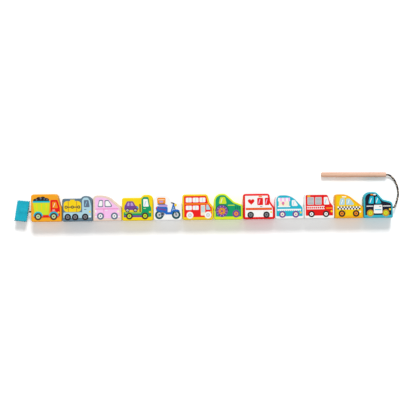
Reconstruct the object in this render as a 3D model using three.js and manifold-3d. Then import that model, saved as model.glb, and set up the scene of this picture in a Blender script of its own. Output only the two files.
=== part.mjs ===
// A wooden lacing toy laid out in a row: flat vehicle-shaped beads threaded on a two-tone lace,
// with a wooden needle on one end of the lace and a felt tag sewn over the other.
// Millimetres. X runs along the row, Y up the beads' painted faces and Z up from the table.
import * as THREE from 'three';
import { mergeVertices } from 'three/addons/utils/BufferGeometryUtils.js';
import Module from 'manifold-3d';

const wasm = await Module();
wasm.setup();

// Beads: what all of them share
const BEAD_THICKNESS = 20;
const BEAD_GAP = 0.7;
const EDGE_ROUND = 1.4;
const HOLE_DIAMETER = 8.6;
const HOLE_RISE = 15;
const HOLE_CHAMFER = 0.6;

// Box bodies: a flat roof, a windscreen whose foot is set back, and an upright nose
const TIPPER_TRUCK = {
  width: 44.6, height: 40.2, noseHeight: 20, noseRound: 3, footBack: 2.6, footHeight: 24.4, footRound: 6,
  roofBack: 6.2, roofRound: 4.5, tailRound: 4.2, baseRound: 3,
};
const DOUBLE_DECKER_BUS = {
  width: 45, height: 37.4, noseHeight: 18.5, noseRound: 4, footBack: 5.7, footHeight: 26, footRound: 6,
  roofBack: 8.5, roofRound: 4.5, tailRound: 3.5, baseRound: 3,
};
const AMBULANCE = {
  width: 45.4, height: 37.1, noseHeight: 17, noseRound: 5, footBack: 6, footHeight: 25.5, footRound: 4,
  roofBack: 7.2, roofRound: 3.5, tailRound: 3.2, baseRound: 2.4,
};
const FIRE_ENGINE = {
  width: 43.5, height: 36.5, noseHeight: 19, noseRound: 4, footBack: 4.5, footHeight: 24.5, footRound: 6,
  roofBack: 8.5, roofRound: 5, tailRound: 4, baseRound: 3,
};

// Trucks: a level bed behind a taller domed cab
const TANKER_TRUCK = {
  width: 44, height: 37, bedHeight: 33.4, noseRound: 9, cabLength: 13.5, cabRound: 6,
  stepRun: 3, stepRound: 4, tailRound: 3, baseRound: 2,
};
const TOW_TRUCK = {
  width: 44.8, height: 37.6, bedHeight: 33.5, noseRound: 6.5, cabLength: 13.5, cabRound: 6,
  stepRun: 3.8, stepRound: 4, tailRound: 3, baseRound: 2.6,
};

// Hatchbacks: a roof that runs down to the nose in one long slope
const SMALL_CAR = {
  width: 41.4, height: 37.7, noseHeight: 19.5, noseRound: 6, slopeLength: 20.7, roofRound: 25,
  tailRound: 6.5, baseRound: 2,
};
const ICE_CREAM_VAN = {
  width: 41.8, height: 36.3, noseHeight: 17.5, noseRound: 7, slopeLength: 17.8, roofRound: 24,
  tailRound: 9, baseRound: 3,
};
const TAXI = {
  width: 41.2, height: 35, noseHeight: 16.4, noseRound: 3, slopeLength: 23, roofRound: 22,
  tailRound: 4, baseRound: 1.8,
};

// Round cabs: a domed cab or rider at the back and a lower bonnet in front
const MOTORBIKE = {
  width: 41.5, height: 37, bonnetFront: 24, noseRound: 7, bonnetLength: 15.5, bonnetRear: 28.5,
  scuttleRound: 6, roofLength: 20.5, roofRound: 7, tailRound: 10, baseRound: 4,
};
const TRACTOR = {
  width: 41.8, height: 38, bonnetFront: 21.2, noseRound: 3.5, bonnetLength: 12.3, bonnetRear: 26,
  scuttleRound: 8, roofLength: 16.8, roofRound: 9, tailRound: 11, baseRound: 2,
};
const POLICE_CAR = {
  width: 42.3, height: 37.7, bonnetFront: 23, noseRound: 6, bonnetLength: 14.3, bonnetRear: 26.5,
  scuttleRound: 7, roofLength: 18.5, roofRound: 9, tailRound: 10, baseRound: 2,
};

// Lace, and the gap it keeps to whatever it runs in
const LACE_DIAMETER = 2.8;
const LACE_CLEARANCE = 0.3;
const LACE_STUB = 0.6;
const LACE_LIFT = 0.1;
const LACE_TAUT_RISE = 0.5;

// Needle, lying on the table beside the row; its open end is placed from the lace's exit
const NEEDLE_DIAMETER = 7.2;
const NEEDLE_LENGTH = 95;
const NEEDLE_TIP_ROUND = 1.6;
const NEEDLE_END_CHAMFER = 0.6;
const NEEDLE_BORE_DEPTH = 12.5;
const NEEDLE_MOUTH_X = -9.5;
const NEEDLE_MOUTH_Y = 47.8;
const NEEDLE_YAW_DEG = -0.7;

// Tag: two felt layers with pinked edges, the lace's end between them, one edge resting on the table
const TAG_WIDTH = 18.6;
const TAG_LENGTH = 32;
const TAG_SKEW_DEG = -6;
const TAG_FROM_ROW = 5.2;
const TAG_ABOVE_LACE = 1.2;
const TAG_HOLD = 12;
const FELT_THICKNESS = 1.5;
const FELT_GAP = 0.3;
const PINKING_PITCH = 3.6;
const PINKING_DEPTH = 0.9;

// Steps of the faceted curves
const EDGE_STEPS = 2;
const CORNER_STEPS = 3;
const HOLE_STEPS = 18;
const NEEDLE_STEPS = 20;
const TIP_STEPS = 3;
const LACE_SIDES = 8;
const LACE_LOOP_STEPS = 12;
const MERGE_TOLERANCE = 1e-4;
const FILLET_SHARE = 0.98;

// Finishes
const PAINT_ROUGHNESS = 0.45;
const WOOD_ROUGHNESS = 0.55;
const CLOTH_ROUGHNESS = 0.95;
const LACE_COLOUR = 0x8f7c6c;
const NEEDLE_COLOUR = 0xe2b797;
const TAG_COLOUR = 0x1fadc6;

// Worked out from the dimensions above
const laceRadius = LACE_DIAMETER / 2;
const laceBore = laceRadius + LACE_CLEARANCE;
const laceHeight = BEAD_THICKNESS / 2 - HOLE_DIAMETER / 2 + laceBore + LACE_TAUT_RISE;
const needleRadius = NEEDLE_DIAMETER / 2;
const laceOnTable = laceRadius + LACE_LIFT;

// The free loop, from the lace's exit beside the last bead round to the needle's open end:
// x out of the row, y across it and z over the table.
const LACE_ROUTE = [
  [0, 0, laceHeight],
  [1.6, 1.0, 7.7],
  [3.1, 3.2, 6.9],
  [4.4, 6.2, 5.7],
  [5.7, 9.6, 4.3],
  [7.0, 13.4, 3.0],
  [7.9, 17.4, 2.0],
  [8.2, 21.6, laceOnTable],
  [7.9, 25.8, laceOnTable],
  [7.0, 30.2, laceOnTable],
  [5.5, 34.8, laceOnTable],
  [3.3, 39.2, 1.8],
  [0.5, 43.0, 2.4],
  [-2.7, 45.9, 3.1],
  [-6.0, 47.5, 3.5],
  [NEEDLE_MOUTH_X, NEEDLE_MOUTH_Y, needleRadius],
];

function boxBody(s) {
  return [
    [0, 0, s.baseRound],
    [s.width, 0, s.baseRound],
    [s.width, s.noseHeight, s.noseRound],
    [s.width - s.footBack, s.footHeight, s.footRound],
    [s.width - s.roofBack, s.height, s.roofRound],
    [0, s.height, s.tailRound],
  ];
}

function truckBody(s) {
  return [
    [0, 0, s.baseRound],
    [s.width, 0, s.baseRound],
    [s.width, s.height, s.noseRound],
    [s.width - s.cabLength, s.height, s.cabRound],
    [s.width - s.cabLength - s.stepRun, s.bedHeight, s.stepRound],
    [0, s.bedHeight, s.tailRound],
  ];
}

function hatchbackBody(s) {
  return [
    [0, 0, s.baseRound],
    [s.width, 0, s.baseRound],
    [s.width, s.noseHeight, s.noseRound],
    [s.width - s.slopeLength, s.height, s.roofRound],
    [0, s.height, s.tailRound],
  ];
}

function roundCabBody(s) {
  return [
    [0, 0, s.baseRound],
    [s.width, 0, s.baseRound],
    [s.width, s.bonnetFront, s.noseRound],
    [s.width - s.bonnetLength, s.bonnetRear, s.scuttleRound],
    [s.roofLength, s.height, s.roofRound],
    [0, s.height, s.tailRound],
  ];
}

const BEADS = [
  { name: 'tipper_truck_bead', sizes: TIPPER_TRUCK, body: boxBody, colour: 0xf8a61e },
  { name: 'tanker_truck_bead', sizes: TANKER_TRUCK, body: truckBody, colour: 0x647a8c },
  { name: 'small_car_bead', sizes: SMALL_CAR, body: hatchbackBody, colour: 0xeedfd2 },
  { name: 'tow_truck_bead', sizes: TOW_TRUCK, body: truckBody, colour: 0xf7cf1a },
  { name: 'motorbike_bead', sizes: MOTORBIKE, body: roundCabBody, colour: 0xf4f3ee },
  { name: 'double_decker_bus_bead', sizes: DOUBLE_DECKER_BUS, body: boxBody, colour: 0xf7c21f },
  { name: 'tractor_bead', sizes: TRACTOR, body: roundCabBody, colour: 0xc8e63c },
  { name: 'ambulance_bead', sizes: AMBULANCE, body: boxBody, colour: 0xd8201c },
  { name: 'ice_cream_van_bead', sizes: ICE_CREAM_VAN, body: hatchbackBody, colour: 0xf4f3ee },
  { name: 'fire_engine_bead', sizes: FIRE_ENGINE, body: boxBody, colour: 0xf4f3ee },
  { name: 'taxi_bead', sizes: TAXI, body: hatchbackBody, colour: 0xf5a623 },
  { name: 'police_car_bead', sizes: POLICE_CAR, body: roundCabBody, colour: 0x2db5c8 },
];

// A closed solid from a three.js geometry, with shared vertices merged and slivers dropped
function toSolid(geometry) {
  const bare = geometry.clone();
  bare.deleteAttribute('normal');
  bare.deleteAttribute('uv');
  const merged = mergeVertices(bare, MERGE_TOLERANCE);
  const corners = merged.index.array;
  const kept = [];
  for (let i = 0; i < corners.length; i += 3) {
    const [a, b, c] = corners.subarray(i, i + 3);
    if (a !== b && b !== c && c !== a) {
      kept.push(a, b, c);
    }
  }
  const vertProperties = merged.attributes.position.array;
  return new wasm.Manifold(new wasm.Mesh({ numProp: 3, vertProperties, triVerts: Uint32Array.from(kept) }));
}

function toGeometry(solid) {
  const { vertProperties, triVerts } = solid.getMesh();
  const geometry = new THREE.BufferGeometry();
  geometry.setAttribute('position', new THREE.BufferAttribute(vertProperties, 3));
  geometry.setIndex(new THREE.BufferAttribute(triVerts, 1));
  geometry.computeVertexNormals();
  return geometry;
}

// A polygon of [x, y, radius] corners, counter-clockwise, with each corner turned into an arc.
// Where two arcs would meet on one side, both shrink to fit that side.
function roundedOutline(corners) {
  const count = corners.length;
  const points = corners.map(([x, y]) => new THREE.Vector2(x, y));
  const turns = points.map((here, i) => {
    const before = points[(i + count - 1) % count].clone().sub(here).normalize();
    const after = points[(i + 1) % count].clone().sub(here).normalize();
    const half = Math.acos(before.dot(after)) / 2;
    return { before, after, half, convex: after.cross(before) > 0 };
  });
  const reach = corners.map(([, , radius], i) => radius / Math.tan(turns[i].half));
  points.forEach((here, i) => {
    const next = (i + 1) % count;
    const share = (FILLET_SHARE * here.distanceTo(points[next])) / (reach[i] + reach[next]);
    if (share < 1) {
      reach[i] *= share;
      reach[next] *= share;
    }
  });
  const shape = new THREE.Shape();
  points.forEach((here, i) => {
    const { before, after, half, convex } = turns[i];
    const radius = reach[i] * Math.tan(half);
    const middle = before.clone().add(after).normalize();
    const centre = here.clone().addScaledVector(middle, radius / Math.sin(half));
    const start = here.clone().addScaledVector(before, reach[i]).sub(centre).angle();
    const end = here.clone().addScaledVector(after, reach[i]).sub(centre).angle();
    shape.absarc(centre.x, centre.y, radius, start, end, !convex);
  });
  shape.closePath();
  return shape;
}

// A solid of revolution about X, from [radius, x] points that start and end on the axis
function turnedSolid(profile, steps) {
  const points = profile.map(([radius, along]) => new THREE.Vector2(radius, along));
  const geometry = new THREE.LatheGeometry(points, steps);
  geometry.rotateZ(-Math.PI / 2);
  return toSolid(geometry);
}

function cordSection() {
  const section = new THREE.Shape();
  for (let i = 0; i < LACE_SIDES; i += 1) {
    const angle = ((i + 0.5) * 2 * Math.PI) / LACE_SIDES;
    const x = laceRadius * Math.cos(angle);
    const y = laceRadius * Math.sin(angle);
    if (i === 0) {
      section.moveTo(x, y);
    } else {
      section.lineTo(x, y);
    }
  }
  section.closePath();
  return section;
}

function cordTube(path, steps) {
  return new THREE.ExtrudeGeometry(cordSection(), { steps, extrudePath: path });
}

function piece(name, geometry, colour, roughness) {
  const material = new THREE.MeshStandardMaterial({ color: colour, roughness, metalness: 0 });
  const mesh = new THREE.Mesh(geometry, material);
  mesh.name = name;
  return mesh;
}

// One bead: its rounded outline given thickness and eased edges, then drilled along the row
function beadGeometry({ sizes, body }) {
  const blank = new THREE.ExtrudeGeometry(roundedOutline(body(sizes)), {
    depth: BEAD_THICKNESS - 2 * EDGE_ROUND,
    bevelThickness: EDGE_ROUND,
    bevelSize: EDGE_ROUND,
    bevelOffset: -EDGE_ROUND,
    bevelSegments: EDGE_STEPS,
    curveSegments: CORNER_STEPS,
  });
  blank.translate(0, 0, EDGE_ROUND);
  const radius = HOLE_DIAMETER / 2;
  const overrun = HOLE_CHAMFER;
  const drill = turnedSolid([
    [0, -overrun],
    [radius + HOLE_CHAMFER + overrun, -overrun],
    [radius, HOLE_CHAMFER],
    [radius, sizes.width - HOLE_CHAMFER],
    [radius + HOLE_CHAMFER + overrun, sizes.width + overrun],
    [0, sizes.width + overrun],
  ], HOLE_STEPS);
  return toGeometry(toSolid(blank).subtract(drill.translate([0, HOLE_RISE, BEAD_THICKNESS / 2])));
}

// The needle along X, open end at 0 and tip at -NEEDLE_LENGTH
function needleGeometry() {
  const profile = [[0, -NEEDLE_LENGTH]];
  for (let i = 0; i <= TIP_STEPS; i += 1) {
    const angle = ((i / TIP_STEPS) * Math.PI) / 2;
    const radius = needleRadius - NEEDLE_TIP_ROUND * (1 - Math.sin(angle));
    profile.push([radius, -NEEDLE_LENGTH + NEEDLE_TIP_ROUND * (1 - Math.cos(angle))]);
  }
  profile.push([needleRadius, -NEEDLE_END_CHAMFER]);
  profile.push([needleRadius - NEEDLE_END_CHAMFER, 0]);
  profile.push([laceBore, 0]);
  profile.push([laceBore, -NEEDLE_BORE_DEPTH]);
  profile.push([0, -NEEDLE_BORE_DEPTH]);
  return toGeometry(turnedSolid(profile, NEEDLE_STEPS));
}

// The free loop with a round end at its exit, run on into the needle's bore
function freeLaceGeometry() {
  const yaw = THREE.MathUtils.degToRad(NEEDLE_YAW_DEG);
  const inside = NEEDLE_BORE_DEPTH - LACE_CLEARANCE;
  const end = [
    NEEDLE_MOUTH_X - inside * Math.cos(yaw),
    NEEDLE_MOUTH_Y - inside * Math.sin(yaw),
    needleRadius,
  ];
  const points = [...LACE_ROUTE, end].map((point) => new THREE.Vector3(...point));
  const tube = toSolid(cordTube(new THREE.CatmullRomCurve3(points), LACE_LOOP_STEPS));
  const ball = new THREE.SphereGeometry(laceRadius, LACE_SIDES, LACE_SIDES);
  ball.translate(0, 0, laceHeight);
  return toGeometry(tube.add(toSolid(ball)));
}

// A rectangle centred on its own middle, with zigzag edges
function pinkedOutline(width, length) {
  const corners = [
    [-width / 2, -length / 2],
    [width / 2, -length / 2],
    [width / 2, length / 2],
    [-width / 2, length / 2],
  ].map(([x, y]) => new THREE.Vector2(x, y));
  const points = [];
  corners.forEach((from, i) => {
    const to = corners[(i + 1) % corners.length];
    const teeth = Math.max(1, Math.round(from.distanceTo(to) / PINKING_PITCH));
    const side = to.clone().sub(from);
    const inward = new THREE.Vector2(-side.y, side.x).setLength(PINKING_DEPTH);
    for (let tooth = 0; tooth < teeth; tooth += 1) {
      points.push(from.clone().addScaledVector(side, tooth / teeth));
      points.push(from.clone().addScaledVector(side, (tooth + 0.5) / teeth).add(inward));
    }
  });
  return points;
}

// The tag in its own plane: x along the lace with 0 at the tag's edge beside the row,
// y up the tag from the lace's axis, z out of its front.
function tagOutline() {
  const skew = THREE.MathUtils.degToRad(TAG_SKEW_DEG);
  const middle = new THREE.Vector2(-TAG_WIDTH / 2, TAG_ABOVE_LACE);
  const origin = new THREE.Vector2();
  return pinkedOutline(TAG_WIDTH, TAG_LENGTH).map((point) => point.rotateAround(origin, skew).add(middle));
}

function slab(outline, bottom, top) {
  const geometry = new THREE.ExtrudeGeometry(new THREE.Shape(outline), {
    depth: top - bottom,
    bevelEnabled: false,
  });
  geometry.translate(0, 0, bottom);
  return toSolid(geometry);
}

// A round-ended rod along the lace, from inside the tag out past its edge
function laceRod(radius) {
  const past = TAG_FROM_ROW;
  const profile = [[0, -TAG_HOLD - radius]];
  for (let i = 1; i <= TIP_STEPS; i += 1) {
    const angle = ((i / TIP_STEPS) * Math.PI) / 2;
    profile.push([radius * Math.sin(angle), -TAG_HOLD - radius * Math.cos(angle)]);
  }
  profile.push([radius, past], [0, past]);
  return turnedSolid(profile, HOLE_STEPS);
}

// One felt layer: a flat slab raised over the lace's end
function tagLayerGeometry(outline) {
  const bottom = FELT_GAP / 2;
  const top = bottom + FELT_THICKNESS;
  const ridge = laceRod(laceBore + FELT_THICKNESS);
  const overRidge = slab(outline, bottom, laceBore + 2 * FELT_THICKNESS);
  const layer = slab(outline, bottom, top).add(ridge.intersect(overRidge)).subtract(laceRod(laceBore));
  return toGeometry(layer);
}

// The tilt that lets the tag's upper edge rest on the table while the lace holds it up
function tagTilt(outline) {
  const upper = Math.max(...outline.map((point) => point.y));
  const under = FELT_GAP / 2 + FELT_THICKNESS;
  return Math.asin(laceHeight / Math.hypot(upper, under)) - Math.atan2(under, upper);
}

const toy = new THREE.Group();
let rowLength = -BEAD_GAP;
BEADS.forEach((bead) => {
  const mesh = piece(bead.name, beadGeometry(bead), bead.colour, PAINT_ROUGHNESS);
  mesh.position.x = rowLength + BEAD_GAP;
  rowLength += BEAD_GAP + bead.sizes.width;
  toy.add(mesh);
});

const laceStart = new THREE.Vector3(-TAG_FROM_ROW - TAG_HOLD, HOLE_RISE, laceHeight);
const laceEnd = new THREE.Vector3(rowLength + LACE_STUB, HOLE_RISE, laceHeight);
const threadedTube = cordTube(new THREE.LineCurve3(laceStart, laceEnd), 1);
toy.add(piece('lace_threaded', threadedTube, LACE_COLOUR, CLOTH_ROUGHNESS));

// The lace's exit: where the free loop's round end turns, just clear of the threaded stretch
const exit = new THREE.Group();
exit.position.set(laceEnd.x + LACE_CLEARANCE + laceRadius, HOLE_RISE, 0);
const freeLace = piece('lace_free', freeLaceGeometry(), LACE_COLOUR, CLOTH_ROUGHNESS);
exit.add(freeLace);
const needle = piece('needle', needleGeometry(), NEEDLE_COLOUR, WOOD_ROUGHNESS);
needle.position.set(NEEDLE_MOUTH_X, NEEDLE_MOUTH_Y, needleRadius);
needle.rotation.z = THREE.MathUtils.degToRad(NEEDLE_YAW_DEG);
exit.add(needle);
toy.add(exit);

const outline = tagOutline();
const mirrored = outline.map((point) => new THREE.Vector2(point.x, -point.y)).reverse();
const tag = new THREE.Group();
tag.position.set(-TAG_FROM_ROW, HOLE_RISE, laceHeight);
tag.rotation.x = -tagTilt(outline);
tag.add(piece('tag_front', tagLayerGeometry(outline), TAG_COLOUR, CLOTH_ROUGHNESS));
const tagBack = piece('tag_back', tagLayerGeometry(mirrored), TAG_COLOUR, CLOTH_ROUGHNESS);
tagBack.rotation.x = Math.PI;
tag.add(tagBack);
toy.add(tag);

// The origin goes to the middle of the footprint, the free loop of lace left out
toy.updateMatrixWorld(true);
const footprint = new THREE.Box3();
toy.traverse((object) => {
  if (object.isMesh && object !== freeLace) {
    footprint.expandByObject(object, true);
  }
});
const middle = footprint.getCenter(new THREE.Vector3());
toy.position.set(-middle.x, -middle.y, -footprint.min.z);

export default toy;
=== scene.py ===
"""Looks of a wooden lacing toy: twelve printed vehicle beads on a braided lace, with a wooden
needle on one end of the lace and a felt tag sewn over the other.

Sizes are in millimetres unless a name says otherwise, and MM turns them into the frame's metres.
A bead's own drawing has u to the right from its left side and v up from its base.
"""

import math

import bmesh
import bpy
from mathutils import Matrix, Vector


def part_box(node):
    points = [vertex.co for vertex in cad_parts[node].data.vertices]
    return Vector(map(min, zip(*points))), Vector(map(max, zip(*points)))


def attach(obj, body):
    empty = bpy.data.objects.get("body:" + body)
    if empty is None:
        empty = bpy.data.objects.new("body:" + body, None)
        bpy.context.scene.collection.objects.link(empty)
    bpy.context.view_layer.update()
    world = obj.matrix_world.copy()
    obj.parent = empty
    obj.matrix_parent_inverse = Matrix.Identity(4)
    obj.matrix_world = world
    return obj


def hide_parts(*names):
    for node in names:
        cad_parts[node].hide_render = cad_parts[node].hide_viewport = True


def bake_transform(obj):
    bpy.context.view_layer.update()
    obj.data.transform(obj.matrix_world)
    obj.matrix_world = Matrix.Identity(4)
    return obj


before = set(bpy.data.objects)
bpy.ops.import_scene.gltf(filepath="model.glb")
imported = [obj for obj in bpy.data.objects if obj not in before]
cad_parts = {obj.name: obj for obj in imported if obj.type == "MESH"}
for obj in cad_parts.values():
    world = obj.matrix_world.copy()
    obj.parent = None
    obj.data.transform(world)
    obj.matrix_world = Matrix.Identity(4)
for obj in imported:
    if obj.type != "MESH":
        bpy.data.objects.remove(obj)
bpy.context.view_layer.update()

MM = 0.001

# Camera: straight down on the row, which rises slightly to the right in the picture
CAMERA_X = 6.79
CAMERA_Y = -16.29
CAMERA_HEIGHT = 1870
CAMERA_TURN_DEG = -0.69
PICTURE_WIDTH = 603.2
PICTURE_PLANE = 20
SENSOR_WIDTH = 36

# Light: a round soft lamp beyond the row, a broad weak one on the near side and an even fill.
# Each share is of the plain level of 1.
LAMP_PLACE = (270, 3250, 2800)
LAMP_WIDTH = 1700
LAMP_SHARE = 0.52
NEAR_LAMP_PLACE = (0, -5200, 4800)
NEAR_LAMP_WIDTH = 6000
NEAR_LAMP_SHARE = 0.17
FILL_SHARE = 0.35
# The floor's own colour, and what is added where it is seen, so that it shows white beside the shadow
FLOOR_SIZE = 9000
FLOOR_WHITE = 0.5
FLOOR_LIFT = 0.85

# Beads
EDGE_ROUND = 1.4
EDGE_STEPS = 5
CORNER_STEPS = 9
SMALLEST_RADIUS = 0.05
HOLE_DIAMETER = 8.6
HOLE_RISE = 15
HOLE_CHAMFER = 0.6
HOLE_SIDES = 48
DRILL_OVERRUN = 1
JOIN_DISTANCE = 0.0005
SHARP_ANGLE_DEG = 38

# Printed inks: thin layers one over the other on both faces of a bead
INK_FIRST = 0.06
INK_STEP = 0.05
INK_LAYERS = 6
INK_STACK = INK_FIRST + INK_STEP * INK_LAYERS
INK_ORDER_SHARE = 0.8
INK_ROOT = 0.15
INK_STEPS = 5
INK_UNEVEN = 0.04
INK_GRAIN = 0.08
DISC_STEPS = 36
HUB_SHARE = 0.56
AXLE_SHARE = 0.2
PANE_SHARE = 0.74

# Lace
LACE_DIAMETER = 2.8
LACE_CLEARANCE = 0.3
LACE_SIDES = 36
LACE_RING_STEP = 0.28
LACE_HIDDEN_STEP = 0.56
LACE_STRANDS = 4
LACE_PICK = 2.8
LACE_PALE_STRANDS = (1, 1)
LACE_RELIEF = 0.16
LACE_HEIGHT = 7.9
# The loop starts inside the last bead, so that it bends evenly to both sides of its exit
LACE_BEND_START = 7
LACE_CURVE_STEPS = 16
# The loop's points from the lace's exit: out of the row, across it, and over the table
LACE_ROUTE = [
    (-LACE_BEND_START, 0, LACE_HEIGHT), (-3.0, 0, LACE_HEIGHT), (0, 0.1, LACE_HEIGHT),
    (1.6, 1.0, 7.7), (3.1, 3.2, 6.9), (4.4, 6.2, 5.7), (5.7, 9.6, 4.3),
    (7.0, 13.4, 3.0), (7.9, 17.4, 2.0), (8.2, 21.6, 1.5), (7.9, 25.8, 1.5), (7.0, 30.2, 1.5),
    (5.5, 34.8, 1.5), (3.3, 39.2, 1.8), (0.5, 43.0, 2.4), (-2.7, 45.9, 3.1), (-6.0, 47.5, 3.5),
]

# Needle; its mouth is given from the lace's exit
NEEDLE_MOUTH = (-9.5, 47.8)
NEEDLE_DIAMETER = 7.2
NEEDLE_LENGTH = 95
NEEDLE_YAW_DEG = -0.7
NEEDLE_BORE_DEPTH = 12.5
NEEDLE_BORE_CHAMFER = 0.3
NEEDLE_TIP_ROUND = 1.6
NEEDLE_TIP_STEPS = 8
NEEDLE_END_ROUND = 0.6
NEEDLE_END_STEPS = 4
NEEDLE_SIDES = 48

# Felt tag
TAG_WIDTH = 18.6
TAG_LENGTH = 32
TAG_SKEW_DEG = -6
TAG_TILT_DEG = 20.574
TAG_FROM_ROW = 5.2
TAG_ABOVE_LACE = 1.2
TAG_HOLD = 12
TAG_SKEW = Matrix.Rotation(math.radians(TAG_SKEW_DEG), 2)
TAG_CENTRE = Vector((-TAG_WIDTH / 2, TAG_ABOVE_LACE))
FELT_THICKNESS = 1.5
FELT_RIM_SHARE = 0.8
FELT_SHARP_DEG = 50
FELT_GAP = 0.3
PINKING_PITCH = 3.6
PINKING_DEPTH = 0.9
PINKING_REACH = 3.2
TOOTH_STEPS = 8
RIDGE_SPREAD = 3.6
RIDGE_FADE = 2.4
STITCH_INSET = 2.3
STITCH_LENGTH = 2.0
STITCH_SPACE = 1.1
STITCH_STEPS = 8
# Where a thread shows in its stitch's room, and how far it bows up from its dip in the felt, by diameter
STITCH_SHOWS = (0.18, 0.82)
THREAD_BOW = 0.7
THREAD_DIP = 0.55
THREAD_DIAMETER = 0.5
THREAD_SIDES = 8

# Colours as they are seen, red green blue from 0 to 255
PAINTS = {
    "orange": (248, 168, 36),
    "slate": (97, 122, 137),
    "natural": (238, 214, 202),
    "yellow": (248, 216, 12),
    "white": (250, 250, 248),
    "golden": (245, 206, 32),
    "lime": (218, 240, 36),
    "red": (234, 24, 24),
    "amber": (246, 172, 24),
    "cyan": (58, 180, 200),
}
INKS = {
    "black": (38, 34, 36),
    "charcoal": (62, 58, 62),
    "brown": (76, 52, 44),
    "grey": (128, 130, 136),
    "steel": (98, 116, 138),
    "pale_grey": (205, 208, 210),
    "white": (250, 250, 248),
    "cream": (250, 240, 214),
    "navy": (26, 30, 48),
    "blue": (38, 106, 196),
    "sky": (150, 208, 232),
    "pale_blue": (176, 214, 226),
    "cyan": (30, 184, 208),
    "dark_teal": (18, 78, 86),
    "green": (10, 156, 100),
    "tractor_green": (22, 158, 106),
    "dark_green": (16, 104, 78),
    "lime": (206, 230, 44),
    "pale_green": (196, 220, 168),
    "yellow": (250, 214, 24),
    "taxi_yellow": (246, 204, 8),
    "ochre": (204, 156, 44),
    "orange": (246, 142, 32),
    "red": (232, 26, 24),
    "bus_red": (240, 28, 30),
    "pink": (252, 196, 240),
    "deep_pink": (232, 118, 178),
    "lilac": (188, 158, 216),
    "purple": (118, 74, 152),
    "tan": (214, 164, 104),
}
BARE_WOOD = (226, 190, 150)
BARE_GRAIN = (192, 150, 110)
NATURAL_GRAIN = (222, 198, 174)
NEEDLE_WOOD = (232, 190, 166)
NEEDLE_GRAIN = (202, 152, 122)
FELT = (30, 178, 200)
FELT_DARK = (8, 152, 178)
THREAD = (32, 180, 202)
LACE_DARK = (42, 33, 29)
LACE_PALE = (214, 196, 176)

# Gloss of paint, wood and felt, and of the braid
SATIN_SPECULAR = 0.15
BRAID_SPECULAR = 0.2


def linear(colour, shade=1.0):
    """A seen (sRGB) colour as the linear colour that a shader takes, lighter or darker by shade."""
    channels = []
    for value in colour:
        part = value / 255
        light = part / 12.92 if part <= 0.04045 else ((part + 0.055) / 1.055) ** 2.4
        channels.append(min(1.0, shade * light))
    return (*channels, 1.0)


class Net:
    """A node material with one Principled shader, and short ways to add to it."""

    def __init__(self, name):
        self.material = bpy.data.materials.new(name)
        self.material.use_nodes = True
        self.tree = self.material.node_tree
        self.shader = self.tree.nodes["Principled BSDF"]

    def node(self, kind, **settings):
        made = self.tree.nodes.new(kind)
        for key, value in settings.items():
            setattr(made, key, value)
        return made

    def feed(self, socket, value):
        if isinstance(value, bpy.types.NodeSocket):
            self.tree.links.new(value, socket)
        else:
            socket.default_value = value

    def coordinates(self, stretch=(1, 1, 1)):
        mapping = self.node("ShaderNodeMapping")
        mapping.inputs["Scale"].default_value = stretch
        self.feed(mapping.inputs["Vector"], self.node("ShaderNodeTexCoord").outputs["Object"])
        return mapping.outputs["Vector"]

    def noise(self, place, scale, detail=3.0, rough=0.55):
        made = self.node("ShaderNodeTexNoise")
        self.feed(made.inputs["Vector"], place)
        made.inputs["Scale"].default_value = scale
        made.inputs["Detail"].default_value = detail
        made.inputs["Roughness"].default_value = rough
        return made.outputs["Fac"]

    def ranged(self, value, low, high, to_low, to_high):
        made = self.node("ShaderNodeMapRange")
        self.feed(made.inputs["Value"], value)
        ends = {"From Min": low, "From Max": high, "To Min": to_low, "To Max": to_high}
        for name, number in ends.items():
            made.inputs[name].default_value = number
        return made.outputs["Result"]

    def math(self, operation, first, second=0.0):
        made = self.node("ShaderNodeMath", operation=operation)
        self.feed(made.inputs[0], first)
        self.feed(made.inputs[1], second)
        return made.outputs[0]

    def mix(self, factor, low, high):
        made = self.node("ShaderNodeMix", data_type="RGBA")
        self.feed(made.inputs[0], factor)
        self.feed(made.inputs[6], low)
        self.feed(made.inputs[7], high)
        return made.outputs[2]

    def bump(self, height, strength, distance):
        made = self.node("ShaderNodeBump")
        made.inputs["Strength"].default_value = strength
        made.inputs["Distance"].default_value = distance
        self.feed(made.inputs["Height"], height)
        return made.outputs["Normal"]

    def finish(self, colour, roughness, normal, **constants):
        self.feed(self.shader.inputs["Base Color"], colour)
        self.feed(self.shader.inputs["Roughness"], roughness)
        self.feed(self.shader.inputs["Normal"], normal)
        for name, value in constants.items():
            self.shader.inputs[name.replace("_", " ")].default_value = value
        return self.material


def painted(name, colour, uneven=0.05, grain=0.12):
    """Satin paint or ink on wood: a slightly uneven coat with the grain showing faintly through."""
    net = Net(name)
    cloud = net.noise(net.coordinates(), scale=90, detail=4)
    streaks = net.noise(net.coordinates((0.07, 1, 1)), scale=1500, detail=4, rough=0.65)
    coat = net.math("ADD", net.math("MULTIPLY", cloud, 0.65), net.math("MULTIPLY", streaks, 0.35))
    tint = net.mix(
        net.ranged(coat, 0.3, 0.7, 0, 1), linear(colour, 1 - uneven), linear(colour, 1 + uneven * 0.6)
    )
    gloss = net.ranged(cloud, 0.3, 0.7, 0.36, 0.5)
    relief = net.bump(streaks, strength=grain, distance=0.0004)
    return net.finish(tint, gloss, relief, Specular_IOR_Level=SATIN_SPECULAR)


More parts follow.
